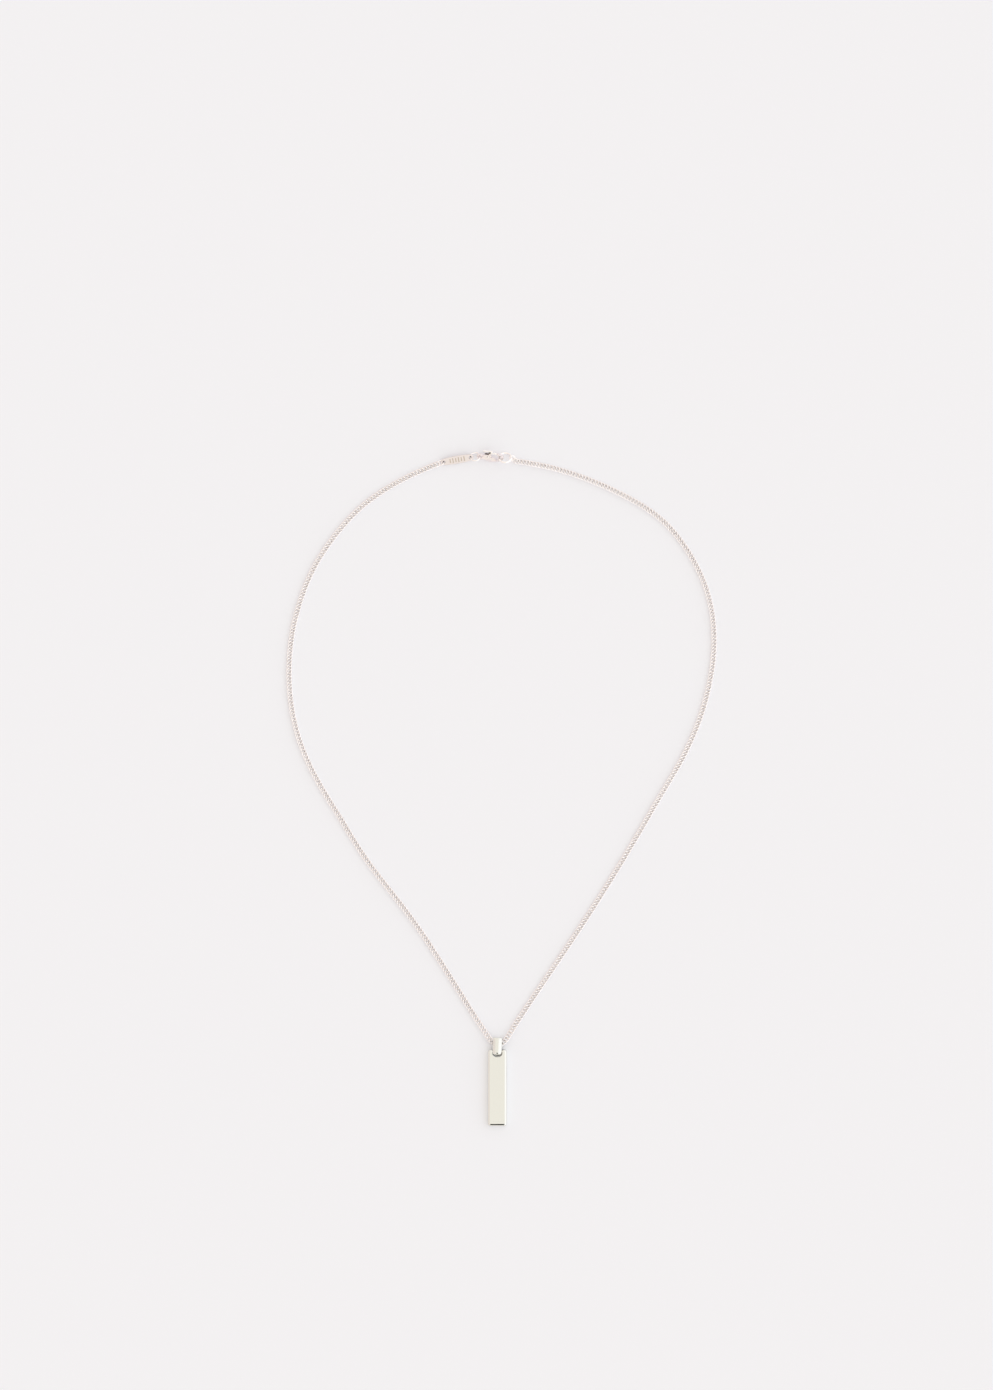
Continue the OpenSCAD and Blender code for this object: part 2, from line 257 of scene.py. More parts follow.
def apply_modifiers(piece):
    """Leaves the piece's final form in its own mesh."""
    seen = piece.evaluated_get(bpy.context.evaluated_depsgraph_get())
    mesh = bpy.data.meshes.new_from_object(seen)
    old = piece.data
    piece.modifiers.clear()
    piece.data = mesh
    bpy.data.meshes.remove(old)
    mesh.name = piece.name


def cut_or_join(piece, tool, operation):
    """Applies a boolean with a tool object, which is then removed."""
    step = piece.modifiers.new("step", "BOOLEAN")
    step.operation = operation
    step.object = tool
    step.solver = "EXACT"
    apply_modifiers(piece)
    bpy.data.objects.remove(tool)


# Points nearer to each other than this are one.
WELD = 0.002 * MM


def weld(piece):
    """Makes one point of those in the same place, and turns all faces outward."""
    work = bmesh.new()
    work.from_mesh(piece.data)
    bmesh.ops.remove_doubles(work, verts=work.verts, dist=WELD)
    bmesh.ops.recalc_face_normals(work, faces=work.faces)
    work.to_mesh(piece.data)
    work.free()


def soften(piece, width, segments, degrees):
    """Rounds the edges that are sharper than an angle, as polishing does."""
    edges = piece.modifiers.new("soften", "BEVEL")
    edges.width = width
    edges.segments = segments
    edges.limit_method = "ANGLE"
    edges.angle_limit = math.radians(degrees)
    apply_modifiers(piece)


def smooth(piece, degrees=35, flats=False):
    """Shades the piece smooth up to an angle. With flats, its large faces stay quite flat."""
    piece.data.shade_smooth()
    piece.data.set_sharp_from_angle(angle=math.radians(degrees))
    if flats:
        even = piece.modifiers.new("even", "WEIGHTED_NORMAL")
        even.keep_sharp = True
        apply_modifiers(piece)


def dress(piece, material, slot, body, *nodes):
    """Gives a piece its material and its body, and hides the solids that it stands for."""
    piece.data.materials.clear()
    piece.data.materials.append(material)
    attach(piece, body)
    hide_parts(*nodes)


def strip(rings, closed):
    """Faces that join rings of points, each closed on itself. With closed, the last ring joins the first."""
    sides = rings.shape[1]
    count = rings.shape[0]
    faces = []
    for i in range(count if closed else count - 1):
        low, high = i * sides, (i + 1) % count * sides
        for j in range(sides):
            k = (j + 1) % sides
            faces.append((low + j, low + k, high + k, high + j))
    return faces


def arc(middle, radius, start, end, steps):
    """Points of an arc, in a plane, with both ends."""
    angles = np.radians(np.linspace(start, end, steps + 1))
    return [(middle[0] + radius * math.cos(a), middle[1] + radius * math.sin(a)) for a in angles]


def prism(name, outline, low, high):
    """A straight piece with the outline given, from one height to another."""
    count = len(outline)
    points = [(x, y, z) for z in (low, high) for x, y in outline]
    faces = [tuple(reversed(range(count))), tuple(range(count, 2 * count))]
    faces += [(i, (i + 1) % count, count + (i + 1) % count, count + i) for i in range(count)]
    return add_mesh(name, points, faces)


def lie_matrix(lie):
    """The placing of a piece that lies with a heading, a pitch and a roll."""
    place, (heading, pitch, roll) = lie
    matrix = Matrix.Translation(place)
    for degrees, axis in ((heading, "Z"), (pitch, "Y"), (roll, "X")):
        matrix = matrix @ Matrix.Rotation(math.radians(degrees), 4, axis)
    return matrix


def rod(name, start, end, radius, sides=64):
    """A round rod between two points."""
    piece = add_mesh(name, [], [])
    along = end - start
    work = bmesh.new()
    place = Matrix.Translation((start + end) / 2) @ along.to_track_quat("Z", "Y").to_matrix().to_4x4()
    bmesh.ops.create_cone(
        work, cap_ends=True, segments=sides, radius1=radius, radius2=radius, depth=along.length, matrix=place
    )
    work.to_mesh(piece.data)
    work.free()
    return piece


# Steps of a quarter turn at the bar's corners, and of one over its rounded front edges.
CORNER_STEPS = 8
EDGE_STEPS = 14


def bar_ring(settings, inset, height):
    """The bar's outline at a height, inset from its widest."""
    radius = max(settings.corner_radius - inset, 0.0)
    keep = max(inset, settings.corner_radius)
    ring = []
    for turn, (x, y) in enumerate(
        [
            (BAR_HIGH.x - keep, BAR_HIGH.y - keep),
            (BAR_LOW.x + keep, BAR_HIGH.y - keep),
            (BAR_LOW.x + keep, BAR_LOW.y + keep),
            (BAR_HIGH.x - keep, BAR_LOW.y + keep),
        ]
    ):
        ring += [(px, py, height) for px, py in arc((x, y), radius, 90 * turn, 90 * turn + 90, CORNER_STEPS)]
    return ring


class PENDANT_OT_bar(bpy.types.Operator):
    """Builds the bar: one casting with rounded front edges, a notch and the bail's crossbar"""

    bl_idname = "pendant.bar"
    bl_label = "Bar"

    def execute(self, context):
        settings = context.scene.pendant_bar
        top = BAR_HIGH.z
        radius = settings.edge_radius
        levels = [(settings.back_chamfer, 0.0), (0.0, settings.back_chamfer)]
        for step in range(EDGE_STEPS + 1):
            turn = math.radians(90 * step / EDGE_STEPS)
            levels.append((radius * (1 - math.cos(turn)), top - radius * (1 - math.sin(turn))))
        rings = np.array([bar_ring(settings, inset, height) for inset, height in levels])
        sides = rings.shape[1]
        faces = strip(rings, closed=False)
        faces.append(tuple(reversed(range(sides))))
        faces.append(tuple(range((len(levels) - 1) * sides, len(levels) * sides)))
        bar = add_mesh("silver_bar", rings.reshape(-1, 3), faces)
        weld(bar)
        half = settings.notch_width / 2
        notch_floor = BAR_HIGH.y - settings.notch_depth
        corner = settings.notch_radius
        outline = [(PENDANT_X + half, BAR_HIGH.y + MM), (PENDANT_X - half, BAR_HIGH.y + MM)]
        outline += arc((PENDANT_X - half + corner, notch_floor + corner), corner, 180, 270, CORNER_STEPS)
        outline += arc((PENDANT_X + half - corner, notch_floor + corner), corner, 270, 360, CORNER_STEPS)
        notch = prism("notch", outline, -MM, top + MM)
        cut_or_join(bar, notch, "DIFFERENCE")
        soften(bar, settings.softening, 3, 40)
        bail = context.scene.pendant_bail
        crossbar_y = BAIL_LOW.y + bail.strap + bail.room + settings.crossbar / 2
        crossbar_z = BAIL_HIGH.z / 2
        reach = half + settings.crossbar_set
        crossbar = rod(
            "crossbar",
            Vector((PENDANT_X - reach, crossbar_y, crossbar_z)),
            Vector((PENDANT_X + reach, crossbar_y, crossbar_z)),
            settings.crossbar / 2,
        )
        cut_or_join(bar, crossbar, "UNION")
        smooth(bar, flats=True)
        dress(bar, bpy.data.materials["polished_sterling_silver"], "polished_silver", "root", "bar")
        return {"FINISHED"}


# Steps of a quarter turn of the strap, of its straight runs, and across its crowned front.
BAIL_ARC_STEPS = 20
BAIL_RUN_STEPS = 12
STRAP_STEPS = 12
# The radius of the strap's front corners, as a share of its thickness.
STRAP_CORNER = 0.3


def bail_line(foot_radius):
    """The strap's outer line, seen from the side, with its outward directions: round over the chain, and bent
    more tightly round the crossbar."""
    top_radius = (BAIL_HIGH.z - BAIL_LOW.z) / 2
    high_y, middle_z = BAIL_HIGH.y - top_radius, BAIL_LOW.z + top_radius
    low_y = BAIL_LOW.y + foot_radius
    corners = [
        (high_y, middle_z, top_radius, -90),
        (high_y, middle_z, top_radius, 0),
        (low_y, BAIL_HIGH.z - foot_radius, foot_radius, 90),
        (low_y, BAIL_LOW.z + foot_radius, foot_radius, 180),
    ]
    line = []
    for i, (y, z, radius, start) in enumerate(corners):
        for step in range(BAIL_ARC_STEPS + 1):
            turn = math.radians(start + 90 * step / BAIL_ARC_STEPS)
            out = math.cos(turn), math.sin(turn)
            line.append((y + radius * out[0], z + radius * out[1], *out))
        next_y, next_z, next_radius, _ = corners[(i + 1) % 4]
        start_y, start_z = line[-1][:2]
        end_y, end_z = next_y + next_radius * out[0], next_z + next_radius * out[1]
        if math.dist((start_y, start_z), (end_y, end_z)) < WELD:
            continue
        for step in range(1, BAIL_RUN_STEPS):
            part = step / BAIL_RUN_STEPS
            line.append((start_y * (1 - part) + end_y * part, start_z * (1 - part) + end_z * part, *out))
    return line


class PENDANT_OT_bail(bpy.types.Operator):
    """Builds the bail: a strap bent to a flat loop, crowned across its front and wider at the chain"""

    bl_idname = "pendant.bail"
    bl_label = "Bail"

    def execute(self, context):
        settings = context.scene.pendant_bail
        run = BAIL_HIGH.y - BAIL_LOW.y
        middle = PENDANT_X - settings.shift
        corner = settings.strap * STRAP_CORNER
        widening = settings.top_width - settings.foot_width
        rings = []
        for y, z, out_y, out_z in bail_line(settings.foot_radius):
            half = (settings.foot_width + widening * (y - BAIL_LOW.y) / run) / 2
            crown = settings.crown * min(max(out_z, 0.0) + max(-out_y, 0.0), 1.0)
            section = [(half, crown + corner)]
            for step in range(STRAP_STEPS + 1):
                across = 1 - 2 * step / STRAP_STEPS
                section.append((across * (half - corner), crown * across**2))
            section += [
                (-half, crown + corner),
                (-half, settings.strap - corner / 2),
                (-half + corner / 2, settings.strap),
                (half - corner / 2, settings.strap),
                (half, settings.strap - corner / 2),
            ]
            rings.append([(middle + x, y - depth * out_y, z - depth * out_z) for x, depth in section])
        rings = np.array(rings)
        bail = add_mesh("bail_strap", rings.reshape(-1, 3), strip(rings, closed=True))
        foot = Matrix.Translation((middle, BAIL_LOW.y + settings.strap, 0))
        bail.data.transform(foot @ Matrix.Rotation(-settings.lean, 4, "Z") @ foot.inverted())
        weld(bail)
        soften(bail, settings.softening, 2, 28)
        smooth(bail)
        dress(bail, bpy.data.materials["polished_sterling_silver"], "polished_silver", "root", "bail")
        return {"FINISHED"}


# Steps along a link's wire, the finer steps that each is measured in, and the sides of the wire.
LINK_STEPS = 28
FINER = 16
WIRE_SIDES = 10
# The sides of the wire, counted from its outermost, that face into the link, which get a darker, duller finish
# that paints the shade between the links.
INNER_SIDES = 4, 5
# Steps of the chain's smooth line between two points of its route.
SPAN_STEPS = 24
# The room between the board and a link that lies level, and the least room under any link.
LEVEL_ROOM = 0.015 * MM
LEAST_ROOM = 0.01 * MM
# How far from its ends and from the bail the chain is held level.
HELD = 6 * MM
# How far the links are drawn to the right and up against the bail's bend, where the solid sleeve has to stay
# clear of it, and how far along the chain that reaches.
DRAWN = (0.3 * MM, 0.4 * MM, 0)
DRAWN_REACH = 6.5 * MM
# How the links lie askew, in degrees: slow waves along the chain, each with its size, how many links it takes for
# a radian and its start, and how far each link strays by itself.
ASKEW_WAVES = (4, 9, 0), (3, 23, 1)
ASKEW_ALONE = 1.5


def link_mesh(settings):
    """One curb link about its own middle: a squarish oval twisted along its length, with polished flats."""
    t = np.linspace(0, 2 * math.pi, LINK_STEPS * FINER, endpoint=False)
    cos_t, sin_t = np.cos(t), np.sin(t)
    power = 2 / settings.squareness
    x = settings.half_length * np.sign(cos_t) * np.abs(cos_t) ** power
    y = settings.half_width * np.sign(sin_t) * np.abs(sin_t) ** power
    turn = settings.twist * x / settings.half_length / 2
    fine = np.stack([x, y * np.cos(turn), y * np.sin(turn)], 1)
    run = np.concatenate([[0], np.cumsum(np.linalg.norm(np.roll(fine, -1, 0) - fine, axis=1))])
    around = np.vstack([fine, fine[:1]])
    wanted = np.linspace(0, run[-1], LINK_STEPS, endpoint=False)
    line = np.stack([np.interp(wanted, run, around[:, i]) for i in range(3)], 1)
    along = np.roll(line, -1, 0) - np.roll(line, 1, 0)
    along /= np.linalg.norm(along, axis=1)[:, None]
    out = line - (line * along).sum(1)[:, None] * along
    out /= np.linalg.norm(out, axis=1)[:, None]
    side = np.cross(along, out)
    angles = np.linspace(0, 2 * math.pi, WIRE_SIDES, endpoint=False)[None, :, None]
    section = np.cos(angles) * out[:, None] + np.sin(angles) * side[:, None]
    rings = line[:, None] + settings.wire / 2 * section
    rings[:, :, 2] = np.clip(rings[:, :, 2], -settings.flat, settings.flat)
    return rings.reshape(-1, 3), strip(rings, closed=True)


def smooth_line(points):
    """A smooth line through the points, as many short steps."""
    ends = np.vstack([2 * points[0] - points[1], points, 2 * points[-1] - points[-2]])
    line = []
    for k in range(1, len(ends) - 2):
        before, start, end, after = ends[k - 1 : k + 3]
        for t in np.linspace(0, 1, SPAN_STEPS, endpoint=False):
            line.append(
                0.5
                * (
                    2 * start
                    + (end - before) * t
                    + (2 * before - 5 * start + 4 * end - after) * t**2
                    + (3 * start - before - 3 * end + after) * t**3
                )
            )
    return np.vstack(line + [points[-1]])


def chain_places(settings):
    """Where each link lies, as its middle and three directions, and which is the right stretch's first."""
    rest = settings.flat + LEVEL_ROOM
    points = ROUTE_LEFT + ROUTE_RIGHT + [HOOK_START]
    line = smooth_line(np.array([(p[0], p[1], rest if len(p) == 2 else p[2]) for p in points]))
    from_bail = np.hypot(line[:, 0] - PENDANT_X, line[:, 1] - BAIL_HIGH.y)
    line += np.array(DRAWN) * np.exp(-((from_bail / DRAWN_REACH) ** 2))[:, None]
    run = np.concatenate([[0], np.cumsum(np.linalg.norm(np.diff(line, axis=0), axis=1))])
    count = round(run[-1] / settings.pitch)
    pitch = run[-1] / count
    meet = run[(len(ROUTE_LEFT) - 1) * SPAN_STEPS]
    noise = np.random.default_rng(7)
    places = []
    for k in range(count + 1):
        at = np.array([np.interp(k * pitch, run, line[:, i]) for i in range(3)])
        before, after = (
            np.array([np.interp(s, run, line[:, i]) for i in range(3)])
            for s in (max(k * pitch - pitch / 2, 0), min(k * pitch + pitch / 2, run[-1]))
        )
        along = (after - before) / np.linalg.norm(after - before)
        side = np.cross((0, 0, 1), along)
        side /= np.linalg.norm(side)
        up = np.cross(along, side)
        free = min(k * pitch, abs(k * pitch - meet) - HELD, run[-1] - k * pitch)
        to_light = -1 if k * pitch < meet else 1
        turned = settings.roll * min(max(free / HELD, 0), 1) * to_light
        askew = sum(size * math.sin(k / wave + start) for size, wave, start in ASKEW_WAVES)
        roll = turned + math.radians(askew + noise.uniform(-ASKEW_ALONE, ASKEW_ALONE))
        side, up = side * math.cos(roll) + up * math.sin(roll), up * math.cos(roll) - side * math.sin(roll)
        places.append((at, along, side, up))
    hook = np.array(lie_matrix(HOOK_LIE))
    places[-1] = hook[:3, 3], hook[:3, 0], hook[:3, 1], hook[:3, 2]
    return places, int(math.floor(meet / pitch)) + 1


class PENDANT_OT_chain(bpy.types.Operator):
    """Builds the curb chain, link through link, in its left and right stretch"""

    bl_idname = "pendant.chain"
    bl_label = "Chain"

    def execute(self, context):
        settings = context.scene.pendant_chain
        points, faces = link_mesh(settings)
        places, first_right = chain_places(settings)
        for name, node, some in (
            ("curb_chain_left", "chain_left", places[:first_right]),
            ("curb_chain_right", "chain_right", places[first_right:]),
        ):
            all_points, all_faces = [], []
            for at, along, side, up in some:
                start = len(all_points) * len(points)
                placed = at + points @ np.array([along, side, up])
                placed[:, 2] += max(LEAST_ROOM - placed[:, 2].min(), 0)
                all_points.append(placed)
                all_faces += [tuple(start + v for v in f) for f in faces]
            chain = add_mesh(name, np.vstack(all_points), all_faces)
            smooth(chain, 60)
            dress(chain, bpy.data.materials["tumbled_sterling_silver"], "chain_silver", "root", node)
            # The wire's inner sides get the darker finish that paints the shade between the links.
            chain.data.materials.append(bpy.data.materials["dull_shaded_inner_silver"])
            for face in chain.data.polygons:
                if face.index % WIRE_SIDES in INNER_SIDES:
                    face.material_index = 1
        return {"FINISHED"}


# Each ring's solid, its piece's name and where its wire meets, in degrees round it. The end ring is closed.
RINGS = {
    "chain_ring_left": ("jump_ring_left", 60),
    "chain_ring_right": ("jump_ring_right", 250),
    "link_ring": ("jump_ring_middle", 100),
    "end_ring": ("end_ring_wire", None),
}
# Steps round a ring, and the sides of its wire.
RING_STEPS = 96
RING_SIDES = 24
# The width of the hairline where a jump ring's wire meets.
SEAM = 0.035 * MM


def ring_shape(node):
    """A ring's middle, its three directions, and its two radii, from its solid."""
    low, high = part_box(node)
    middle = (np.array(low) + np.array(high)) / 2
    points = np.array([v.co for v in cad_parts[node].data.vertices], float) - middle
    axis = np.linalg.svd(points, full_matrices=False)[2][2]
    axis *= np.sign(axis[2])
    first = np.cross((0, 1, 0), axis)
    first /= np.linalg.norm(first)
    wire = np.abs(points @ axis).max()
    outer = np.linalg.norm(points - np.outer(points @ axis, axis), axis=1).max()
    return middle, first, np.cross(axis, first), axis, outer - wire, wire


class PENDANT_OT_rings(bpy.types.Operator):
    """Builds the jump rings, each with the hairline where its wire meets, and the closed end ring"""

    bl_idname = "pendant.rings"
    bl_label = "Rings"

    def execute(self, context):
        for node, (name, seam_at) in RINGS.items():
            middle, first, second, axis, radius, wire = ring_shape(node)
            closed = seam_at is None
            opening = 0.0 if closed else SEAM / radius
            start = 0.0 if closed else math.radians(seam_at) + opening / 2
            steps = RING_STEPS if closed else RING_STEPS + 1
            turns = np.linspace(start, start + 2 * math.pi - opening, steps, endpoint=not closed)
            # The sides run from the wire's outer side down and inward, which turns the faces outward.
            sides = np.linspace(0, 2 * math.pi, RING_SIDES, endpoint=False)
            rings = np.array(
                [
                    [
                        middle
                        + (radius + wire * math.cos(s)) * (math.cos(t) * first + math.sin(t) * second)
                        - wire * math.sin(s) * axis
                        for s in sides
                    ]
                    for t in turns
                ]
            )
            faces = strip(rings, closed)
            if not closed:
                faces.append(tuple(reversed(range(RING_SIDES))))
                faces.append(tuple(range(RING_SIDES * RING_STEPS, RING_SIDES * (RING_STEPS + 1))))
            ring = add_mesh(name, rings.reshape(-1, 3), faces)
            smooth(ring)
            dress(ring, bpy.data.materials["tumbled_sterling_silver"], "chain_silver", "root", node)
        return {"FINISHED"}


# The name plate: from its middle to a hole's, the radius of its ends, half its width, half its thickness and
# the holes' radius. With a lower fullness, its long sides stay wide for longer towards the ends.
PLATE_REACH = 4.4 * MM
PLATE_END = 1.0 * MM
PLATE_HALF_WIDTH = 1.3 * MM
PLATE_HALF_THICK = 0.25 * MM
PLATE_HOLE = 0.47 * MM
PLATE_FULLNESS = 0.8
PLATE_STEPS = 32

# The plate's plain strokes stand for its lettering. They are drawn coarse enough to show in the picture. Every
# other one is the taller, and tall and short are from the plate's middle line to a stroke's end.
PLATE_STROKES = 6
PLATE_STROKE_PITCH = 0.92 * MM
PLATE_STROKE_WIDTH = 0.3 * MM
PLATE_STROKE_DEPTH = 0.08 * MM
PLATE_STROKE_TALL = 0.8 * MM
PLATE_STROKE_SHORT = 0.66 * MM

# How far beside its place a face is still taken for a stroke's.
SLACK = 0.01 * MM


def plate_outline():
    """A long oval that runs into a round end at each hole."""
    upper = []
    for x in np.linspace(PLATE_REACH, -PLATE_REACH, PLATE_STEPS + 1):
        swell = (1 - (x / PLATE_REACH) ** 2) ** PLATE_FULLNESS
        upper.append((x, PLATE_END + (PLATE_HALF_WIDTH - PLATE_END) * swell))
    lower = [(-x, -y) for x, y in upper]
    right = arc((PLATE_REACH, 0), PLATE_END, -90, 90, 24)[1:-1]
    left = arc((-PLATE_REACH, 0), PLATE_END, 90, 270, 24)[1:-1]
    return upper + left + lower + right


class PENDANT_OT_plate(bpy.types.Operator):
    """Builds the name plate: stamped from sheet, drilled at both ends and cut with a row of plain strokes"""

    bl_idname = "pendant.plate"
    bl_label = "Name plate"

    def execute(self, context):
        plate = prism("name_plate_engraved", plate_outline(), -PLATE_HALF_THICK, PLATE_HALF_THICK)
        for x in (-PLATE_REACH, PLATE_REACH):
            hole = rod("hole", Vector((x, 0, -MM)), Vector((x, 0, MM)), PLATE_HOLE, 48)
            cut_or_join(plate, hole, "DIFFERENCE")
        soften(plate, 0.09 * MM, 3, 50)
        half = PLATE_STROKE_WIDTH / 2
        for i in range(PLATE_STROKES):
            x = (i - (PLATE_STROKES - 1) / 2) * PLATE_STROKE_PITCH
            tall = PLATE_STROKE_TALL if i % 2 else PLATE_STROKE_SHORT
            corners = [(x - half, -tall), (x + half, -tall), (x + half, tall), (x - half, tall)]
            stroke = prism("stroke", corners, PLATE_HALF_THICK - PLATE_STROKE_DEPTH, PLATE_HALF_THICK + MM)
            cut_or_join(plate, stroke, "DIFFERENCE")
        smooth(plate, flats=True)
        dress(plate, bpy.data.materials["satin_sterling_silver"], "polished_silver", "root", "name_plate")
        # Darker finishes paint the shade on the holes' walls and on the strokes' floors.
        for face in plate.data.polygons:
            x, y, z = face.center
            below = PLATE_HALF_THICK - z
            in_row = abs(y) < PLATE_STROKE_TALL + SLACK and abs(x) < PLATE_REACH - MM
            # The holes' walls get the dark finish that paints the shade inside the holes.
            if math.hypot(abs(x) - PLATE_REACH, y) < 1.05 * PLATE_HOLE and abs(face.normal.z) < 0.3:
                face.material_index = 1
            elif in_row and SLACK < below < 1.2 * PLATE_STROKE_DEPTH:
                face.material_index = 2
        plate.data.materials.append(bpy.data.materials["hollow_shade_silver"])
        plate.data.materials.append(bpy.data.materials["engraved_shaded_silver"])
        plate.data.transform(lie_matrix(PLATE_LIE))
        return {"FINISHED"}


# Grain of the meshes that the castings are worn round on, in millimetres, and how often they are worn.
CLAW_GRAIN = 0.045
LEVER_GRAIN = 0.036
RIVET_GRAIN = 0.027
CLASP_PASSES = 6

# Forms of the castings that their solids don't have, each as an outline in the clasp's own plan with its lowest
# and its highest level, in millimetres: the claw's palm, the room of the solid's thumb piece, which is cut off,
# the slimmer thumb piece in its place, and its stem.
PALM = [(3.65, -1.2), (4.6, -1.1), (5.4, -0.95), (5.0, -0.45), (4.4, -0.1), (3.65, 0.02)], -0.45, 0.45
OLD_THUMB = [(1.2, 1.5), (4.5, 1.5), (4.5, 2.5), (1.2, 2.5)], -1.0, 1.0
THUMB = arc((3.85, 2.02), 0.22, -90, 90, 12) + arc((1.1, 2.02), 0.22, 90, 270, 12), -0.62, 0.05
STEM = [(3.0, 1.2), (3.9, 1.2), (3.9, 2.0), (3.0, 2.0)], -0.25, 0.02

# The room under the thumb piece, whose faces get a dark finish that paints the shade there: its low and high
# corner in the clasp's own plan, and its highest level, in millimetres.
THUMB_ROOM = (1.05, 0.93), (3.45, 1.84)
THUMB_ROOM_TOP = 0.25


def cast_piece(node, name):
    """A copy of a solid of the clasp, in millimetres and in the clasp's own plan."""
    piece = bpy.data.objects.new(name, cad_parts[node].data.copy())
    bpy.context.scene.collection.objects.link(piece)
    piece.data.transform(Matrix.Scale(1 / MM, 4) @ lie_matrix(CLASP_LIE).inverted())
    return piece


def tumble(piece, grain):
    """Wears a casting's sharp edges round, as tumbling in steel shot does."""
    grow = piece.modifiers.new("grow", "REMESH")
    grow.mode = "VOXEL"
    grow.voxel_size = grain
    wear = piece.modifiers.new("wear", "SMOOTH")
    wear.factor = 0.5
    wear.iterations = CLASP_PASSES
    apply_modifiers(piece)
    smooth(piece, 70)


def paint_thumb_room_shade(piece):
    """Gives the faces in the room under the thumb piece the dark finish that paints the shade there."""
    piece.data.materials.append(bpy.data.materials["hollow_shade_silver"])
    (low_x, low_y), (high_x, high_y) = THUMB_ROOM
    for face in piece.data.polygons:
        x, y, z = face.center
        if low_x < x < high_x and low_y < y < high_y and z < THUMB_ROOM_TOP:
            face.material_index = 1


class PENDANT_OT_clasp(bpy.types.Operator):
    """Builds the lobster clasp: the cast claw, its lever and the rivet that the lever turns on"""

    bl_idname = "pendant.clasp"
    bl_label = "Clasp"

    def execute(self, context):
        dull, bright = (bpy.data.materials[f"{finish}_sterling_silver"] for finish in ("cast", "tumbled"))
        claw = cast_piece("clasp_body", "clasp_claw")
        cut_or_join(claw, prism("palm", *PALM), "UNION")
        tumble(claw, CLAW_GRAIN)
        dress(claw, dull, "clasp_silver", "root", "clasp_body")
        paint_thumb_room_shade(claw)
        lever = cast_piece("clasp_lever", "clasp_thumb_lever")
        cut_or_join(lever, prism("old_thumb", *OLD_THUMB), "DIFFERENCE")
        cut_or_join(lever, prism("thumb", *THUMB), "UNION")
        cut_or_join(lever, prism("stem", *STEM), "UNION")
        tumble(lever, LEVER_GRAIN)
        dress(lever, bright, "clasp_silver", "lever", "clasp_lever")
        paint_thumb_room_shade(lever)
        rivet = cast_piece("clasp_rivet", "clasp_rivet_pin")
        tumble(rivet, RIVET_GRAIN)
        dress(rivet, bright, "clasp_silver", "root", "clasp_rivet")
        for piece in (claw, lever, rivet):
            piece.data.transform(lie_matrix(CLASP_LIE) @ Matrix.Scale(MM, 4))
        return {"FINISHED"}


# A black flag leans over the board below the bar: its foot, its top and half its width. The bar's lower edge
# mirrors it as a thin dark line, and the camera doesn't see it.
FLAG_FOOT = Vector((PENDANT_X, -0.205, 0.038))
FLAG_TOP = Vector((PENDANT_X, -0.140, 0.17))
FLAG_HALF = 0.013

# The light tent's colours from its left wall (0) over its roof (0.5) to its right wall (1), the brightest.
TENT_WALLS = (
    (0.0, "#E1D8D2"), (0.28, "#E3DAD4"), (0.38, "#ECE9E1"),
    (0.56, "#ECE9E1"), (0.66, "#FFFFFF"), (1.0, "#FFFFFF"),
)

# Half the board's side, in metres, and the height of the camera's film, in millimetres.
BOARD_REACH = 3.0
FILM_HEIGHT = 24.0


class PENDANT_OT_stage(bpy.types.Operator):
    """Builds the board, the black flag, the light tent and the camera"""

    bl_idname = "pendant.stage"
    bl_label = "Board and light"

    def execute(self, context):
        settings = context.scene.pendant_light
        finish = context.scene.pendant_finish
        context.scene.view_settings.view_transform = "Standard"
        corners = [(-BOARD_REACH, -BOARD_REACH, 0), (BOARD_REACH, -BOARD_REACH, 0)]
        corners += [(BOARD_REACH, BOARD_REACH, 0), (-BOARD_REACH, BOARD_REACH, 0)]
        board = add_mesh("pale_board", corners, [(0, 1, 2, 3)])
        board.data.materials.append(matt_board(finish.board))
        aside = Vector((FLAG_HALF, 0, 0))
        corners = [FLAG_FOOT - aside, FLAG_FOOT + aside, FLAG_TOP + aside, FLAG_TOP - aside]
        flag = add_mesh("black_flag", corners, [(0, 1, 2, 3)])
        flag.data.materials.append(black_card())
        flag.visible_camera = flag.visible_diffuse = flag.visible_shadow = False
        # Mirrored light stays sharp after it has met a rough surface.
        context.scene.cycles.blur_glossy = 0
        self.light_tent(context.scene, settings)
        self.camera(context.scene, settings.camera_height)
        return {"FINISHED"}

    def light_tent(self, scene, settings):
        """A pale tent, dimmer and warmer on the left and brightest on the right."""
        world = bpy.data.worlds.new("light_tent")
        world.use_nodes = True
        tree = world.node_tree
        tree.nodes.clear()
        place = add_node(tree, "ShaderNodeTexCoord")
        parts = add_node(tree, "ShaderNodeSeparateXYZ", {"Vector": place.outputs["Generated"]})
        sideways = add_node(tree, "ShaderNodeMapRange", {"Value": parts.outputs["X"]}, **{"From Min": -1.0})
        wall = add_node(tree, "ShaderNodeValToRGB", {"Fac": sideways.outputs["Result"]})
        stops = wall.color_ramp.elements
        while len(stops) < len(TENT_WALLS):
            stops.new(0.5)
        for stop, (position, colour) in zip(stops, TENT_WALLS):
            stop.position = position
            stop.color = linear(colour)
        glow = add_node(tree, "ShaderNodeBackground", {"Color": wall.outputs["Color"]}, Strength=settings.tent)
        add_node(tree, "ShaderNodeOutputWorld", {"Surface": glow.outputs["Background"]})
        scene.world = world

    def camera(self, scene, height):
        """Looks straight down, with the photograph's frame on the board."""
        lens = bpy.data.cameras.new("camera")
        lens.sensor_fit = "VERTICAL"
        lens.sensor_height = FILM_HEIGHT
        lens.lens = lens.sensor_height * height / (PHOTO_HEIGHT * PIXEL)
        lens.clip_start = 0.01
        camera = bpy.data.objects.new("camera", lens)
        camera.location = PHOTO_MIDDLE + Vector((0, 0, height))
        scene.collection.objects.link(camera)
        scene.camera = camera


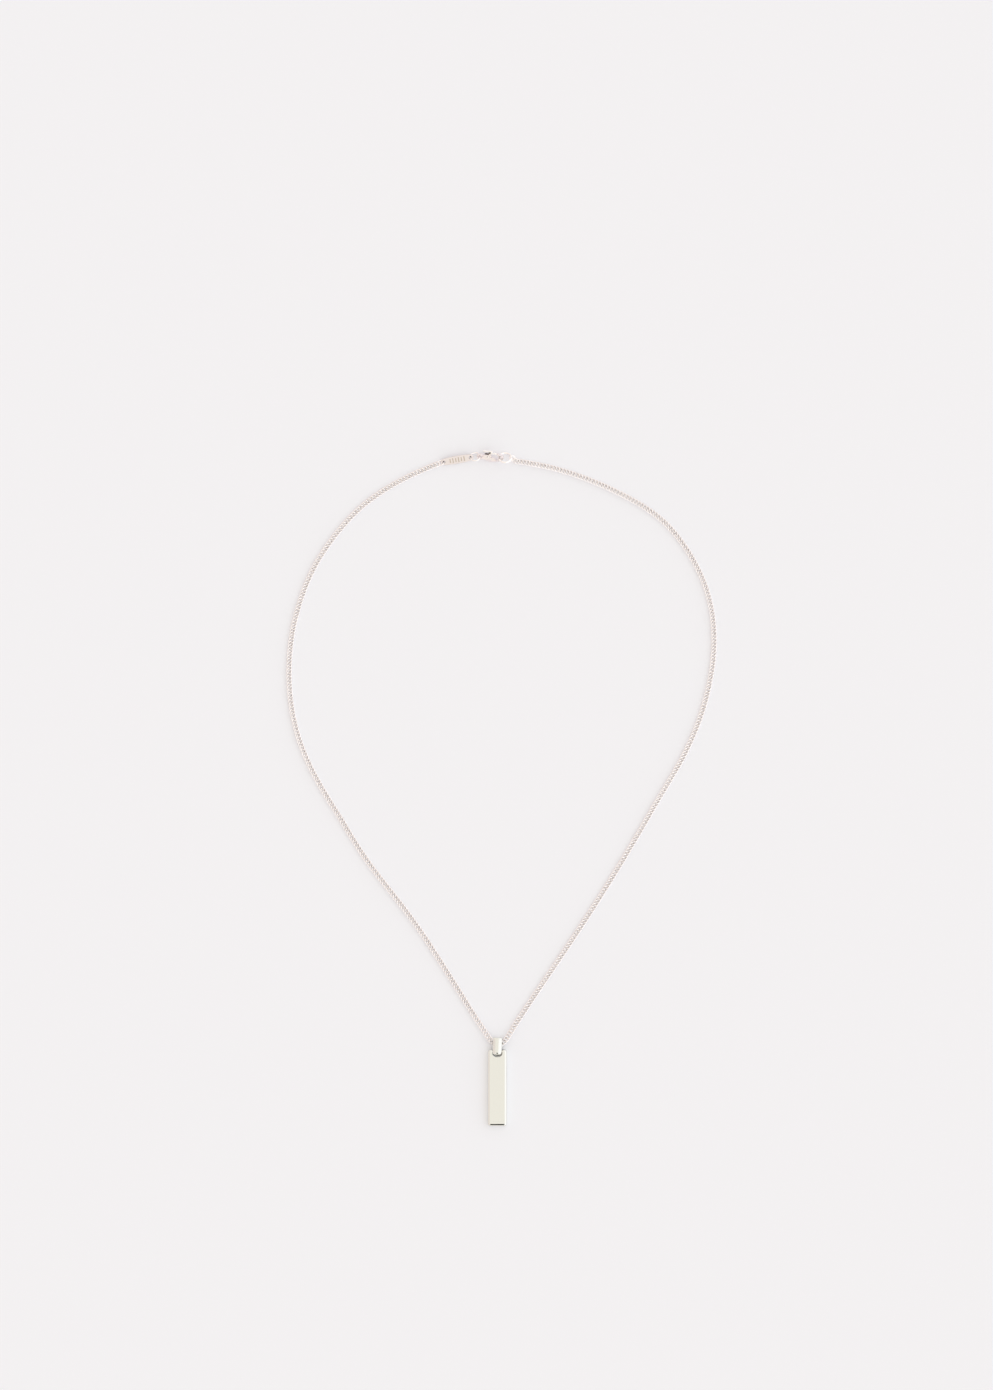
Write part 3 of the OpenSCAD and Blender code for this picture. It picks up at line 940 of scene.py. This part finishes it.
def matt_board(hex_colour):
    """Matt white card: coated paper with almost no gloss, which shows soft shadows and no mirror images."""
    material, tree = empty_material("matt_white_card")
    look = {"Base Color": linear(hex_colour), "Roughness": 0.9, "Specular IOR Level": 0.2}
    shader = add_node(tree, "ShaderNodeBsdfPrincipled", **look)
    add_node(tree, "ShaderNodeOutputMaterial", {"Surface": shader.outputs["BSDF"]})
    return material


def black_card():
    """Black flocked card, which sends almost no light back, so that the bar mirrors it as a dark line."""
    material, tree = empty_material("black_flocked_card")
    look = {"Base Color": linear("#1E1C1A"), "Roughness": 1.0, "Specular IOR Level": 0.0}
    shader = add_node(tree, "ShaderNodeBsdfPrincipled", **look)
    add_node(tree, "ShaderNodeOutputMaterial", {"Surface": shader.outputs["BSDF"]})
    return material


class PENDANT_OT_finishes(bpy.types.Operator):
    """Makes the silver finishes"""

    bl_idname = "pendant.finishes"
    bl_label = "Finishes"

    def execute(self, context):
        colours = context.scene.pendant_finish
        # The bar and bail mirror the tent as even, clear tones with bright edges.
        silver("polished_sterling_silver", colours.bar, 0.1, 0.02, 0.002 * MM)
        # The links, rings and lever are a little softer, so that each link shows as a bright bead.
        silver("tumbled_sterling_silver", colours.chain, 0.18, 0.04, 0.004 * MM)
        # The claw keeps the faint unevenness of its casting, in warm, soft highlights.
        silver("cast_sterling_silver", colours.clasp, 0.22, 0.05, 0.008 * MM)
        # The name plate has a fine matt sheen that lets its strokes stand out.
        silver("satin_sterling_silver", colours.plate, 0.34, 0.06, 0.003 * MM)
        # The strokes' floors are rough from the graver, and their warm grey colour paints the shade in the cuts.
        silver("engraved_shaded_silver", "#CDC0B2", 0.55, 0.1, 0.006 * MM)
        # A dark finish paints the shade in the plate's holes and in the room under the thumb piece.
        silver("hollow_shade_silver", "#746860", 0.55, 0.1, 0.006 * MM)
        # The links' inner sides are dull, and a little darker as painted shade between the links, which sets the
        # beads apart.
        silver("dull_shaded_inner_silver", "#D8D0C8", 0.55, 0.1, 0.006 * MM)
        return {"FINISHED"}


class PENDANT_PT_panel(bpy.types.Panel):
    """Lists the steps in the 3D view's sidebar"""

    bl_label = "Dog tag pendant"
    bl_idname = "PENDANT_PT_panel"
    bl_space_type = "VIEW_3D"
    bl_region_type = "UI"
    bl_category = "Pendant"

    def draw(self, context):
        for step in STEPS:
            self.layout.operator(step.bl_idname)


STEPS = (
    PENDANT_OT_finishes,
    PENDANT_OT_bar,
    PENDANT_OT_bail,
    PENDANT_OT_chain,
    PENDANT_OT_rings,
    PENDANT_OT_plate,
    PENDANT_OT_clasp,
    PENDANT_OT_stage,
)
SETTINGS = {
    "pendant_bar": BarSettings,
    "pendant_bail": BailSettings,
    "pendant_chain": ChainSettings,
    "pendant_finish": FinishSettings,
    "pendant_light": LightSettings,
}
CLASSES = (*SETTINGS.values(), *STEPS, PENDANT_PT_panel)


def register():
    for each in CLASSES:
        bpy.utils.register_class(each)
    for name, group in SETTINGS.items():
        setattr(bpy.types.Scene, name, bpy.props.PointerProperty(type=group))


def unregister():
    for name in SETTINGS:
        delattr(bpy.types.Scene, name)
    for each in reversed(CLASSES):
        bpy.utils.unregister_class(each)


def main():
    register()
    for step in STEPS:
        group, name = step.bl_idname.split(".")
        getattr(getattr(bpy.ops, group), name)()


if __name__ == "__main__":
    main()
